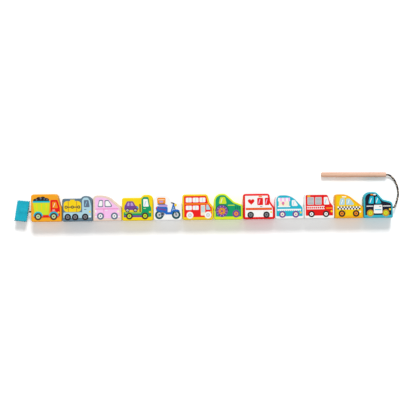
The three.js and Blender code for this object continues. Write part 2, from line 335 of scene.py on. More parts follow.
def wood(name, colour, grain_colour):
    """Bare wood: long fine grain along x, with short darker pores."""
    net = Net(name)
    bands = net.noise(net.coordinates((0.05, 1, 1)), scale=420, detail=5, rough=0.6)
    pores = net.noise(net.coordinates((0.10, 1, 1)), scale=2600, detail=2, rough=0.5)
    dark = net.math(
        "MAXIMUM", net.ranged(bands, 0.42, 0.72, 0, 0.75), net.ranged(pores, 0.62, 0.72, 0, 0.9)
    )
    tint = net.mix(dark, linear(colour), linear(grain_colour))
    gloss = net.ranged(bands, 0.3, 0.7, 0.5, 0.68)
    relief = net.bump(dark, strength=0.25, distance=0.0003)
    return net.finish(tint, gloss, relief, Specular_IOR_Level=SATIN_SPECULAR)


def felted(name):
    """Pressed felt: matted fibres at two scales, with a soft sheen."""
    net = Net(name)
    clumps = net.noise(net.coordinates(), scale=380, detail=5, rough=0.65)
    fibres = net.noise(net.coordinates((1, 0.35, 1)), scale=2600, detail=4, rough=0.7)
    matted = net.math("ADD", net.math("MULTIPLY", clumps, 0.5), net.math("MULTIPLY", fibres, 0.5))
    tint = net.mix(net.ranged(matted, 0.34, 0.66, 0, 1), linear(FELT_DARK), linear(FELT, 1.08))
    rough = net.ranged(fibres, 0.3, 0.7, 0.85, 1.0)
    relief = net.bump(matted, strength=0.7, distance=0.0006)
    return net.finish(tint, rough, relief, Specular_IOR_Level=SATIN_SPECULAR, Sheen_Weight=0.25)


def braided(name):
    """Two-tone braid, strand by strand, from the tube's own map of picks round and along it."""
    net = Net(name)
    split = net.node("ShaderNodeSeparateXYZ")
    net.feed(split.inputs[0], net.node("ShaderNodeTexCoord").outputs["UV"])
    around, along = split.outputs[0], split.outputs[1]
    rising, falling = net.math("ADD", around, along), net.math("SUBTRACT", around, along)
    steps = [net.math("FLOOR", way) for way in (rising, falling)]
    over = net.math("FLOORED_MODULO", net.math("ADD", *steps), 2)
    pale = [
        net.math("LESS_THAN", net.math("FLOORED_MODULO", step, LACE_STRANDS), count - 0.5)
        for step, count in zip(steps, LACE_PALE_STRANDS)
    ]
    strand = net.math(
        "ADD",
        net.math("MULTIPLY", pale[0], over),
        net.math("MULTIPLY", pale[1], net.math("SUBTRACT", 1.0, over)),
    )
    fibres = net.noise(net.coordinates(), scale=5200, detail=3, rough=0.6)
    dark = net.mix(fibres, linear(LACE_DARK, 0.7), linear(LACE_DARK, 1.35))
    light = net.mix(fibres, linear(LACE_PALE, 0.75), linear(LACE_PALE))
    rough = net.ranged(fibres, 0.3, 0.7, 0.75, 0.95)
    relief = net.bump(fibres, strength=0.4, distance=0.0003)
    return net.finish(net.mix(strand, dark, light), rough, relief, Specular_IOR_Level=BRAID_SPECULAR)


def threaded(name):
    """Sewing thread: fine slanted ply."""
    net = Net(name)
    ply = net.noise(net.coordinates((1, 1.8, 1)), scale=4200, detail=2, rough=0.5)
    tint = net.mix(ply, linear(THREAD, 0.7), linear(THREAD, 1.2))
    relief = net.bump(ply, strength=0.4, distance=0.0002)
    return net.finish(tint, net.ranged(ply, 0.3, 0.7, 0.6, 0.8), relief)


def mesh_object(name, points, faces, materials, slots=None, place=None, smooth=True):
    """An object from points in millimetres, at a place in the frame's metres."""
    mesh = bpy.data.meshes.new(name)
    mesh.from_pydata([Vector(point) * MM for point in points], [], faces)
    for material in materials:
        mesh.materials.append(material)
    if slots:
        mesh.polygons.foreach_set("material_index", slots)
    mesh.polygons.foreach_set("use_smooth", [smooth] * len(mesh.polygons))
    mesh.update()
    made = bpy.data.objects.new(name, mesh)
    bpy.context.scene.collection.objects.link(made)
    made.matrix_world = place or Matrix()
    return made


def stands_for(piece, body, slot, *nodes):
    """Lets a piece move with a body, in place of the nodes named. The slot is not used."""
    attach(piece, body)
    if nodes:
        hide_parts(*nodes)


def ring_faces(rings, sides, first=0):
    """The faces between rings of points that follow one another from the first point on."""
    faces = []
    for ring in range(rings - 1):
        low = first + ring * sides
        for side in range(sides):
            after = (side + 1) % sides
            faces.append((low + side, low + after, low + sides + after, low + sides + side))
    return faces


def rounded(corners, inset=0.0, steps=CORNER_STEPS):
    """The points of a counter-clockwise outline with rounded corners, moved inwards by inset."""
    places = [Vector(corner[:2]) for corner in corners]
    count = len(places)
    runs = [(places[(i + 1) % count] - places[i]).normalized() for i in range(count)]
    points = []
    for i, place in enumerate(places):
        before, after = runs[i - 1], runs[i]
        left, next_left = Vector((-before.y, before.x)), Vector((-after.y, after.x))
        turn = math.atan2(before.cross(after), before.dot(after))
        side = math.copysign(1, turn)
        corner = place + (left + next_left) * inset / (1 + left.dot(next_left))
        radius = max(corners[i][2] - side * inset, SMALLEST_RADIUS)
        start = corner - before * radius * math.tan(abs(turn) / 2)
        centre = start + left * radius * side
        for step in range(steps + 1):
            points.append(centre + Matrix.Rotation(turn * step / steps, 2) @ (start - centre))
    return points


def box_body(width, height, nose, foot, roof, tail, base):
    """A tall body with a short sloped front; nose, foot and roof are (back, height, radius) places."""
    return [
        (0, 0, base), (width, 0, base), (width, nose[0], nose[1]),
        (width - foot[0], foot[1], foot[2]), (width - roof[0], height, roof[1]), (0, height, tail),
    ]


def truck_body(width, height, bed, nose_round, cab, step, tail, base):
    """A lower load bed behind a cab."""
    return [
        (0, 0, base), (width, 0, base), (width, height, nose_round),
        (width - cab[0], height, cab[1]), (width - cab[0] - step[0], bed, step[1]), (0, bed, tail),
    ]


def hatchback_body(width, height, nose, slope, tail, base):
    """A roof that runs down to a low nose in one slope."""
    return [
        (0, 0, base), (width, 0, base), (width, nose[0], nose[1]),
        (width - slope[0], height, slope[1]), (0, height, tail),
    ]


def round_cab_body(width, height, nose, scuttle, roof, tail, base):
    """A rounded cab behind a sloping bonnet."""
    return [
        (0, 0, base), (width, 0, base), (width, nose[0], nose[1]),
        (width - scuttle[0], scuttle[1], scuttle[2]), (roof[0], height, roof[1]), (0, height, tail),
    ]


class Print:
    """The inks of one bead's picture: closed outlines, each in a layer over the ones before."""

    def __init__(self, bead_corners):
        self.bead_corners = bead_corners
        self.shapes = []

    def whole(self, ink, layer, inset, low):
        """The bead's own outline moved inwards, with its base at low."""
        base = low - inset
        corners = [(u, max(v, base), radius) for u, v, radius in self.bead_corners]
        self.shapes.append((ink, layer, rounded(corners, inset, INK_STEPS * 2)))

    def area(self, ink, layer, corners, radius=1.0):
        self.shapes.append((ink, layer, rounded([(u, v, radius) for u, v in corners], steps=INK_STEPS)))

    def box(self, ink, layer, left, low, right, high, radius=0.6):
        self.area(ink, layer, [(left, low), (right, low), (right, high), (left, high)], radius)

    def disc(self, ink, layer, u, v, radius):
        turns = [2 * math.pi * i / DISC_STEPS for i in range(DISC_STEPS)]
        points = [Vector((u + radius * math.cos(a), v + radius * math.sin(a))) for a in turns]
        self.shapes.append((ink, layer, points))

    def bar(self, ink, layer, start, end, width):
        """A straight stroke with round ends."""
        start, end = Vector(start), Vector(end)
        lean = math.atan2(end.y - start.y, end.x - start.x)
        points = []
        for centre, first in ((end, lean - math.pi / 2), (start, lean + math.pi / 2)):
            for step in range(INK_STEPS * 2 + 1):
                angle = first + math.pi * step / (INK_STEPS * 2)
                points.append(centre + Vector((math.cos(angle), math.sin(angle))) * width / 2)
        self.shapes.append((ink, layer, points))

    def arch(self, ink, layer, u, v, radius, first_deg=0, last_deg=180):
        """A part of a disc, closed by its chord."""
        points = []
        for step in range(DISC_STEPS // 2 + 1):
            angle = math.radians(first_deg + (last_deg - first_deg) * step / (DISC_STEPS // 2))
            points.append(Vector((u + radius * math.cos(angle), v + radius * math.sin(angle))))
        self.shapes.append((ink, layer, points))

    def wheel(self, u, v, radius, tyre, hub, layer=2):
        self.disc(tyre, layer, u, v, radius)
        self.disc(hub, layer + 1, u, v, radius * HUB_SHARE)
        self.disc(tyre, layer + 2, u, v, radius * AXLE_SHARE)

    def heart(self, ink, layer, u, v, scale):
        """The common heart curve, drawn about 32 by 29 and scaled."""
        points = []
        for step in range(DISC_STEPS):
            angle = 2 * math.pi * step / DISC_STEPS
            across = 16 * math.sin(angle) ** 3
            up = 13 * math.cos(angle) - 5 * math.cos(2 * angle)
            up -= 2 * math.cos(3 * angle) + math.cos(4 * angle)
            points.append(Vector((u - across * scale, v + up * scale)))
        self.shapes.append((ink, layer, points))


def tipper_print(art):
    art.box("red", 0, 4, 6.2, 40, 9.8)
    for u, v, radius in ((6.6, 30.4, 3.4), (11.6, 32, 4.2), (17.4, 32.4, 4.4), (22.8, 31, 3.8)):
        art.disc("black", 0, u, v, radius)
    for u, v, radius in ((8.4, 32.2, 1.1), (14.4, 34, 1.4), (19.6, 33.4, 1.1), (23.6, 32.6, 1.1)):
        art.disc("steel", 1, u, v, radius)
    art.area("lime", 1, [(5.4, 10.6), (25.6, 10.6), (27.4, 30), (2.8, 30)], 1.6)
    for u in (9, 15.5, 22):
        art.bar("yellow", 2, (u, 17), (u + (u - 15.5) * 0.1, 26), 1.6)
    art.bar("cyan", 2, (3.6, 29.2), (26.7, 29.2), 2.4)
    art.area("red", 1, [(28.4, 7.6), (42, 7.6), (42, 20.4), (38.6, 31.8), (28.4, 31.8)], 2)
    art.area("orange", 2, [(31, 19.8), (39.4, 19.8), (36.8, 29), (31, 29)], 1)
    art.bar("cream", 3, (32.8, 21.8), (34.8, 26.8), 0.9)
    art.bar("cream", 2, (31.6, 17), (34.4, 17), 1)
    art.disc("yellow", 2, 40, 13.4, 1.4)
    for u in (10.4, 33):
        art.arch("cyan", 2, u, 8.2, 7)
        art.wheel(u, 7.8, 5.2, "brown", "pale_green", 3)


def tanker_print(art):
    art.box("pale_blue", 0, 1.8, 5.2, 42.2, 13.4, 1.4)
    art.box("yellow", 1, 2.2, 14, 27.6, 29.8, 5)
    for u in (9, 21):
        art.box("ochre", 2, u - 0.6, 14.3, u + 0.6, 29.5, 0.3)
    art.bar("charcoal", 3, (5.2, 21), (24.8, 21), 1.2)
    for u in (5.8, 15, 24.2):
        art.disc("charcoal", 3, u, 21, 2.2)
        art.disc("yellow", 4, u, 21, 1)
    art.box("yellow", 0, 11.6, 29, 18.4, 31.8, 0.8)
    art.area(
        "pale_blue", 1,
        [(29, 5.2), (42.2, 5.2), (42.2, 22), (40.6, 30), (37.4, 34.6), (31.6, 34.6), (29, 31)], 2.4,
    )
    art.area("steel", 2, [(31.6, 20.6), (40.2, 20.6), (38.4, 31), (31.6, 31)], 1.4)
    art.bar("sky", 3, (33.6, 22.8), (35.6, 28.4), 0.9)
    art.bar("steel", 2, (32.2, 17.4), (34.8, 17.4), 1)
    art.disc("yellow", 2, 40.2, 14, 1.4)
    art.bar("white", 2, (38.6, 7.4), (41.4, 7.4), 1.3)
    for u in (8, 18.8, 33.4):
        art.wheel(u, 6.6, 4.8, "black", "grey", 2)


def small_car_print(art):
    art.whole("pink", 0, 3.2, 4.2)
    for pane in ([(6.4, 20.4), (14.8, 20.4), (14.8, 31), (9.2, 31)],
                 [(17, 20.4), (29.4, 20.4), (22.6, 30.6), (17, 30.6)]):
        art.area("steel", 1, pane, 2)
        middle = sum((Vector(corner) for corner in pane), Vector((0, 0))) / 4
        art.area("white", 2, [middle + (Vector(corner) - middle) * PANE_SHARE for corner in pane], 1.4)
    art.bar("deep_pink", 1, (4.4, 17.8), (36.6, 17.8), 0.9)
    art.bar("deep_pink", 1, (15.8, 6), (15.8, 17), 0.6)
    art.bar("white", 2, (17.8, 15.6), (20.8, 15.6), 1)
    art.disc("cream", 1, 36.4, 14, 1.7)
    art.box("white", 1, 3, 12.4, 5, 16.4, 0.8)
    for left, right in ((3.8, 6), (35.8, 37.8)):
        art.bar("white", 1, (left, 6.6), (right, 6.6), 1.6)
    for u in (10.8, 31):
        art.wheel(u, 7.4, 5.1, "steel", "white", 2)


def tow_truck_print(art):
    art.box("purple", 0, 2.4, 5.2, 40, 8.8, 0.8)
    art.box("green", 1, 2.4, 8.2, 30, 13, 1.2)
    art.bar("lime", 2, (4.4, 11.6), (27.4, 11.6), 1.1)
    art.box("charcoal", 0, 25.4, 12, 27.2, 24.4, 0.6)
    art.area(
        "purple", 1,
        [(3, 15.8), (24, 15.8), (24, 20.6), (19.6, 22), (16.2, 28.4), (7.6, 28.4), (3.8, 21.8)], 1.8,
    )
    art.area("lilac", 2, [(7, 21.8), (11, 21.8), (11, 26.6), (9, 26.6)], 0.7)
    art.area("lilac", 2, [(12.6, 21.8), (17.4, 21.8), (15, 26.6), (12.6, 26.6)], 0.7)
    art.disc("cyan", 2, 22.6, 19.4, 1.2)
    for u in (8, 19.4):
        art.wheel(u, 15.4, 3, "brown", "pale_grey", 3)
    art.area(
        "green", 1,
        [(28.4, 5.6), (42.6, 5.6), (42.6, 18.6), (40.4, 23), (38.6, 34.4), (31.2, 34.4), (28.4, 31)], 2,
    )
    art.area("white", 2, [(31, 20.4), (39, 20.4), (37.2, 31.4), (31, 31.4)], 1)
    art.bar("sky", 3, (33, 22.4), (35, 28.4), 1)
    art.bar("pale_green", 2, (31.6, 17.8), (34.4, 17.8), 1)
    art.disc("yellow", 2, 40.6, 12.6, 1.4)
    for u in (10.6, 33.4):
        art.wheel(u, 7, 4.9, "brown", "lime", 3)


def motorbike_print(art):
    for u in (8.6, 33):
        art.wheel(u, 8.2, 6.3, "dark_teal", "pale_grey", 0)
    art.bar("steel", 3, (33, 8.2), (30.4, 20), 1.7)
    art.arch("blue", 3, 33, 8.8, 7.1, 35, 145)
    art.area("blue", 3, [(3.4, 14.6), (15.6, 10.4), (20.8, 10.4), (20.8, 19.4), (5.4, 20.8)], 1.6)
    art.bar("blue", 3, (18.6, 10.4), (26.4, 10.4), 3.4)
    art.bar("blue", 4, (26.2, 10.6), (30, 23), 3.4)
    art.bar("sky", 5, (27.8, 14.4), (29.2, 19.2), 0.9)
    art.disc("steel", 4, 13.2, 9.4, 3)
    art.disc("charcoal", 5, 13.2, 9.4, 1.2)
    art.bar("purple", 4, (8.4, 17), (17.4, 15.4), 2.2)
    art.bar("lilac", 4, (9, 21.6), (19, 21.4), 3.4)
    art.bar("charcoal", 4, (30.2, 24.4), (26.4, 25.6), 1.4)
    art.disc("yellow", 4, 32.2, 22.2, 1.9)
    art.bar("red", 4, (4.2, 17.4), (4.8, 19.2), 1.5)
    art.bar("charcoal", 3, (6.6, 23.8), (17, 23.8), 1.2)
    art.box("orange", 4, 5.8, 24.6, 17.8, 33, 1.6)
    art.bar("cream", 5, (7.6, 30.2), (16, 30.2), 0.9)
    art.box("lilac", 5, 9.2, 26, 14.4, 28.6, 0.7)


def bus_print(art):
    art.whole("bus_red", 0, 2.5, 4.4)
    for step in range(3):
        left = 5 + step * 9.9
        art.box("white", 1, left, 25.8, left + 8.7, 32.6, 1.2)
        art.bar("pale_blue", 2, (left + 4.4, 26.6), (left + 4.4, 31.8), 0.7)
    for step in range(2):
        left = 5 + step * 9.9
        art.box("white", 1, left, 14.8, left + 8.7, 21, 1.2)
        art.bar("pale_blue", 2, (left + 4.4, 15.6), (left + 4.4, 20.2), 0.7)
    art.area("pale_blue", 1, [(34.6, 14.8), (41, 14.8), (37.4, 22.2), (34.6, 22.2)], 0.8)
    art.box("cream", 1, 26.6, 6.6, 33, 21.6, 0.8)
    for left in (27.4, 30.2):
        art.box("pale_blue", 2, left, 11, left + 2, 20.4, 0.5)
    art.bar("orange", 1, (4.2, 23.5), (37, 23.5), 1.7)
    art.disc("yellow", 1, 40.6, 11.8, 1.3)
    for u in (10.8, 37):
        art.wheel(u, 7.2, 5, "white", "pale_grey", 2)


def tractor_print(art):
    art.whole("tractor_green", 0, 2.3, 4.6)
    art.area("lime", 1, [(7, 23), (18.6, 23), (16.2, 33), (9.4, 33)], 1.8)
    art.bar("cream", 2, (10.2, 25), (12, 30.6), 1.1)
    for u in (31.6, 34.2, 36.8):
        art.bar("dark_green", 1, (u, 15.4), (u, 19), 1.1)
    art.bar("lime", 1, (20.8, 21), (29.4, 21), 1.2)
    hub = Vector((11.6, 12.6))
    art.arch("dark_green", 1, hub.x, hub.y, 10, 0, 180)
    art.disc("purple", 2, hub.x, hub.y, 8.6)
    art.disc("orange", 3, hub.x, hub.y, 5)
    art.disc("purple", 4, hub.x, hub.y, 1.5)
    for step in range(10):
        angle = 2 * math.pi * step / 10
        way = Vector((math.cos(angle), math.sin(angle)))
        art.bar("lilac", 3, hub + way * 6.2, hub + way * 7.8, 0.8)
        if step % 2 == 0:
            art.disc("green", 4, *(hub + way * 3.3), 0.9)
    art.wheel(32.2, 8.6, 5.4, "purple", "orange", 3)


def ambulance_print(art):
    art.whole("white", 0, 2.8, 3.4)
    art.area("red", 1, [(31.4, 20.6), (38, 20.6), (36, 31.2), (31.4, 31.2)], 1.2)
    art.box("red", 1, 20.4, 20.6, 28.8, 31.2, 1.4)
    for u in (22.6, 33):
        art.bar("pink", 2, (u, 23), (u + 1.6, 28.8), 1)
    art.box("red", 1, 3.6, 13.6, 41.8, 16.8, 0.3)
    art.box("orange", 2, 3.6, 14.7, 41.8, 15.7, 0.2)
    art.heart("red", 1, 11.6, 25.8, 0.3)
    art.box("orange", 1, 22.4, 32.2, 27.4, 34, 0.7)
    art.bar("pale_grey", 1, (30, 5.6), (30, 12.6), 0.7)
    art.bar("grey", 1, (24.8, 18.6), (27.4, 18.6), 1)
    art.disc("yellow", 1, 40.4, 10.4, 1.3)
    for u in (10.6, 33.6):
        art.wheel(u, 6.6, 4.7, "black", "grey", 2)


def ice_cream_van_print(art):
    art.whole("cyan", 0, 1.9, 4)
    art.box("cream", 1, 5.4, 18.6, 20.6, 28, 1)
    for step in range(6):
        left = 4.4 + step * 2.9
        art.box("pink" if step % 2 else "white", 2, left, 25.4, left + 2.9, 31, 1.3)
    art.bar("white", 2, (4.8, 18.2), (21.4, 18.2), 1.7)
    art.area("tan", 2, [(11.8, 19.2), (14, 22.6), (9.6, 22.6)], 0.3)
    art.disc("deep_pink", 3, 11.8, 23.2, 1.9)
    art.area("white", 1, [(24.4, 18.8), (34, 18.8), (28.6, 27.4), (24.4, 27.4)], 1.4)
    art.bar("pale_blue", 2, (26.4, 20.6), (27.6, 25.2), 1)
    for step in range(12):
        art.disc("white", 1, 4.6 + step * 2.9, 13, 1.25)
    art.box("white", 1, 3.4, 13, 37.8, 14.6, 0.3)
    art.disc("yellow", 1, 37.2, 9.2, 1.4)
    for u in (10.6, 30):
        art.wheel(u, 6.8, 4.9, "purple", "cream", 2)


def fire_engine_print(art):
    art.whole("red", 0, 2, 4.4)
    for left in (4.6, 15.8):
        art.box("pale_grey", 1, left, 20.4, left + 9.4, 31.2, 0.8)
        for row in range(5):
            art.bar("grey", 2, (left + 1.2, 22 + row * 1.9), (left + 8.2, 22 + row * 1.9), 0.5)
    art.area("white", 1, [(28.4, 20.4), (36.6, 20.4), (33.8, 31.2), (28.4, 31.2)], 1.2)
    art.bar("sky", 2, (30, 22.4), (31.8, 28.2), 1)
    for v in (14.2, 17.8):
        art.bar("white", 1, (4, v), (29, v), 1)
    for step in range(9):
        u = 5.2 + step * 2.8
        art.bar("white", 1, (u, 14.2), (u, 17.8), 0.8)
    art.box("orange", 1, 31.4, 14, 40.6, 16.2, 0.5)
    art.box("yellow", 1, 4.4, 32, 8.8, 33.6, 0.6)
    art.disc("yellow", 1, 39.6, 10.6, 1.5)
    for u in (10.4, 31.4):
        art.wheel(u, 6.8, 4.6, "black", "white", 2)


def taxi_print(art):
    art.whole("taxi_yellow", 0, 2.4, 3.8)
    for pane in ([(6.4, 19.2), (14.4, 19.2), (14.4, 29), (8.4, 29)],
                 [(16.6, 19.2), (29, 19.2), (22, 28.4), (16.6, 28.4)]):
        art.area("pale_blue", 1, pane, 1.4)
    for u in (9.6, 19):
        art.bar("white", 2, (u, 21.2), (u + 1.8, 26.4), 1.1)
    square = 2.2
    art.box("white", 1, 4, 12.8, 4 + square * 15, 12.8 + square * 2, 0.1)
    for step in range(15):
        low = 12.8 + square * (step % 2)
        art.box("black", 2, 4 + step * square, low, 4 + (step + 1) * square, low + square, 0.05)
    art.box("white", 1, 10.6, 30.4, 16.6, 32, 0.5)
    art.bar("ochre", 1, (15.4, 6), (15.4, 12), 0.7)
    art.disc("cream", 1, 36.6, 9.4, 1.5)
    for u in (10.2, 30.8):
        art.wheel(u, 7, 4.8, "black", "orange", 3)


def police_car_print(art):
    art.whole("navy", 0, 2.2, 4.4)
    art.area("cyan", 1, [(6.6, 20.8), (14.6, 20.8), (14.6, 31.6), (9.2, 31.6)], 1.6)
    art.area("cyan", 1, [(16.8, 20.8), (26.4, 20.8), (20.6, 31), (16.8, 31)], 1.6)
    for u in (9.4, 18.4):
        art.bar("white", 2, (u, 22.8), (u + 1.8, 28.2), 1)
    art.box("white", 1, 14.6, 6.6, 27, 19, 1.6)
    art.bar("cyan", 2, (16.6, 12), (25, 12), 1.4)
    art.bar("grey", 2, (22.8, 16.6), (25.2, 16.6), 1)
    for left, right in ((4.6, 13), (28.6, 38.4)):
        art.bar("white", 1, (left, 17.2), (right, 17.2), 1.2)
    art.box("orange", 1, 10, 33, 13.6, 34.8, 0.7)
    art.box("white", 1, 14, 33, 17.6, 34.8, 0.7)
    art.disc("yellow", 1, 38, 12.4, 1.5)
    for u in (9.6, 32):
        art.wheel(u, 7.2, 5, "ochre", "lime", 2)


# Each bead's body name, paint, outline and print, from the tag to the needle's end of the row
BEADS = [
    ("tipper_truck", "orange", tipper_print, box_body,
     dict(nose=(20, 3), foot=(2.6, 24.4, 6), roof=(6.2, 4.5), tail=4.2, base=3)),
    ("tanker_truck", "slate", tanker_print, truck_body,
     dict(bed=33.4, nose_round=9, cab=(13.5, 6), step=(3, 4), tail=3, base=2)),
    ("small_car", "natural", small_car_print, hatchback_body,
     dict(nose=(19.5, 6), slope=(20.7, 25), tail=6.5, base=2)),
    ("tow_truck", "yellow", tow_truck_print, truck_body,
     dict(bed=33.5, nose_round=6.5, cab=(13.5, 6), step=(3.8, 4), tail=3, base=2.6)),
    ("motorbike", "white", motorbike_print, round_cab_body,
     dict(nose=(24, 7), scuttle=(15.5, 28.5, 6), roof=(20.5, 7), tail=10, base=4)),
    ("double_decker_bus", "golden", bus_print, box_body,
     dict(nose=(18.5, 4), foot=(5.7, 26, 6), roof=(8.5, 4.5), tail=3.5, base=3)),
    ("tractor", "lime", tractor_print, round_cab_body,
     dict(nose=(21.2, 3.5), scuttle=(12.3, 26, 8), roof=(16.8, 9), tail=11, base=2)),
    ("ambulance", "red", ambulance_print, box_body,
     dict(nose=(17, 5), foot=(6, 25.5, 4), roof=(7.2, 3.5), tail=3.2, base=2.4)),
    ("ice_cream_van", "white", ice_cream_van_print, hatchback_body,
     dict(nose=(17.5, 7), slope=(17.8, 24), tail=9, base=3)),
    ("fire_engine", "white", fire_engine_print, box_body,
     dict(nose=(19, 4), foot=(4.5, 24.5, 6), roof=(8.5, 5), tail=4, base=3)),
    ("taxi", "amber", taxi_print, hatchback_body,
     dict(nose=(16.4, 3), slope=(23, 22), tail=4, base=1.8)),
    ("police_car", "cyan", police_car_print, round_cab_body,
     dict(nose=(23, 6), scuttle=(14.3, 26.5, 7), roof=(18.5, 9), tail=10, base=2)),
]


def turned(name, profile, sides, material):
    """A solid turned about the x axis, from (x, radius) points that run from axis to axis."""
    points = []
    for x, radius in profile:
        for side in range(sides):
            angle = 2 * math.pi * side / sides
            points.append((x, radius * math.cos(angle), radius * math.sin(angle)))
    made = mesh_object(name, points, ring_faces(len(profile), sides), [material])
    tidy(made.data)
    return made


def tidy(mesh):
    """Joins double points and turns every face outwards."""
    shape = bmesh.new()
    shape.from_mesh(mesh)
    bmesh.ops.remove_doubles(shape, verts=shape.verts, dist=JOIN_DISTANCE * MM)
    bmesh.ops.recalc_face_normals(shape, faces=shape.faces)
    shape.to_mesh(mesh)
    shape.free()


def shaded(piece, angle_deg=SHARP_ANGLE_DEG):
    """Smooth shading with crisp edges, led by the large faces."""
    piece.data.set_sharp_from_angle(angle=math.radians(angle_deg))
    weighted = piece.modifiers.new("flat_faces", "WEIGHTED_NORMAL")
    weighted.keep_sharp = True
    return piece


def drilled(piece, drill):
    """The piece with the drill cut out of it; the drill is used up."""
    cut = piece.modifiers.new("hole", "BOOLEAN")
    cut.operation = "DIFFERENCE"
    cut.solver = "EXACT"
    cut.material_mode = "TRANSFER"
    cut.object = drill
    graph = bpy.context.evaluated_depsgraph_get()
    mesh = bpy.data.meshes.new_from_object(piece.evaluated_get(graph))
    piece.modifiers.clear()
    piece.data = mesh
    bpy.data.objects.remove(drill)
    return piece


def bead_object(body, corners, width, thickness, place, paint, bare):
    """A bead cut from board, with rounded edges and the lace's hole from side to side."""
    edge = []
    for step in range(EDGE_STEPS + 1):
        angle = math.pi / 2 * step / EDGE_STEPS
        edge.append((EDGE_ROUND * (1 - math.sin(angle)), INK_STACK + EDGE_ROUND * (1 - math.cos(angle))))
    levels = edge + [(inset, thickness - height) for inset, height in reversed(edge)]
    points = []
    for inset, height in levels:
        ring = rounded(corners, inset)
        points += [(point.x, point.y, height) for point in ring]
    count = len(ring)
    faces = ring_faces(len(levels), count)
    faces.append(tuple(reversed(range(count))))
    faces.append(tuple(range(len(points) - count, len(points))))
    bead = mesh_object(f"{body}_wood", points, faces, [paint], place=place)
    tidy(bead.data)
    radius = HOLE_DIAMETER / 2
    wide = radius + HOLE_CHAMFER
    before, behind = -DRILL_OVERRUN, width + DRILL_OVERRUN
    profile = [
        (before, 0), (before, wide), (0, wide), (HOLE_CHAMFER, radius),
        (width - HOLE_CHAMFER, radius), (width, wide), (behind, wide), (behind, 0),
    ]
    drill = turned("drill", profile, HOLE_SIDES, bare)
    drill.matrix_world = place @ Matrix.Translation(Vector((0, HOLE_RISE, thickness / 2)) * MM)
    return shaded(drilled(bead, drill))


def print_object(body, art, thickness, place, inks):
    """The bead's picture on both its faces, each ink a thin closed plate over the ones below."""
    used = sorted({ink for ink, _, _ in art.shapes})
    points, faces, slots = [], [], []
    for front in (True, False):
        for order, (ink, layer, outline) in enumerate(art.shapes):
            # Shapes of one layer that cross keep a hair's breadth apart
            top = INK_FIRST + INK_STEP * (layer + INK_ORDER_SHARE * order / len(art.shapes))
            heights = [thickness - INK_STACK - INK_ROOT, thickness - INK_STACK + top]
            if not front:
                heights = [thickness - height for height in reversed(heights)]
            first, count = len(points), len(outline)
            for height in heights:
                points += [(point.x, point.y, height) for point in outline]
            faces.append(tuple(reversed(range(first, first + count))))
            faces.append(tuple(range(first + count, first + 2 * count)))
            faces += ring_faces(2, count, first)
            slots += [used.index(ink)] * (count + 2)
    materials = [inks[ink] for ink in used]
    return mesh_object(f"{body}_print", points, faces, materials, slots, place, smooth=False)


def smooth_line(points, pieces):
    """A smooth line through all the points."""
    ends = [points[0] * 2 - points[1], *points, points[-1] * 2 - points[-2]]
    line = []
    for i in range(1, len(ends) - 2):
        a, b, c, d = ends[i - 1 : i + 3]
        for piece in range(pieces):
            t = piece / pieces
            line.append(
                b + (c - a) * (t / 2) + (a * 2 - b * 5 + c * 4 - d) * (t * t / 2)
                + (b * 3 - a - c * 3 + d) * (t ** 3 / 2)
            )
    return [*line, points[-1]]


def spaced(line, step):
    """The line again, with points about step apart."""
    lengths = [0.0]
    for before, after in zip(line, line[1:]):
        lengths.append(lengths[-1] + (after - before).length)
    count = max(2, round(lengths[-1] / step))
    made, at = [], 0
    for i in range(count + 1):
        wanted = lengths[-1] * i / count
        while at < len(line) - 2 and lengths[at + 1] < wanted:
            at += 1
        share = (wanted - lengths[at]) / (lengths[at + 1] - lengths[at])
        made.append(line[at].lerp(line[at + 1], share))
    return made, lengths[-1]


def braid_object(name, line, step, material):
    """A round braid along a line: a tube whose picks stand out, mapped in picks round and along it."""
    rings, length = spaced(line, step)
    side = Vector((0, 0, 1))
    points, maps = [], []
    for i, centre in enumerate(rings):
        way = (rings[min(i + 1, len(rings) - 1)] - rings[max(i - 1, 0)]).normalized()
        side = (side - way * side.dot(way)).normalized()
        up = way.cross(side)
        along = length * i / (len(rings) - 1) / LACE_PICK
        for turn in range(LACE_SIDES):
            around = LACE_STRANDS * turn / LACE_SIDES
            angle = 2 * math.pi * turn / LACE_SIDES
            pick = abs(math.sin(math.pi * (around + along)) * math.sin(math.pi * (around - along)))
            radius = LACE_DIAMETER / 2 - LACE_RELIEF * (1 - math.sqrt(pick))
            points.append(centre + (side * math.cos(angle) + up * math.sin(angle)) * radius)
    for ring in range(len(rings) - 1):
        low, high = (length * (ring + k) / (len(rings) - 1) / LACE_PICK for k in (0, 1))
        for turn in range(LACE_SIDES):
            left, right = (LACE_STRANDS * (turn + k) / LACE_SIDES for k in (0, 1))
            maps += [(left, low), (right, low), (right, high), (left, high)]
    faces = ring_faces(len(rings), LACE_SIDES)
    for first in (0, len(points) - LACE_SIDES):
        cap = range(first, first + LACE_SIDES)
        faces.append(tuple(reversed(cap)) if first == 0 else tuple(cap))
        maps += [(0.5, 0.5)] * LACE_SIDES
    made = mesh_object(name, points, faces, [material])
    layer = made.data.uv_layers.new(name="picks")
    for loop, place in zip(layer.data, maps):
        loop.uv = place
    return made, [tuple(point * MM) for point in rings], length * MM


def ridge_height(x, y):
    """How far the lace's end lifts the felt at a place on the tag."""
    hold = min(1.0, max(0.0, (x + TAG_HOLD + RIDGE_FADE) / RIDGE_FADE))
    share = math.exp(-((y / RIDGE_SPREAD) ** 2)) * hold * hold * (3 - 2 * hold)
    return (LACE_DIAMETER / 2 + LACE_CLEARANCE) * share


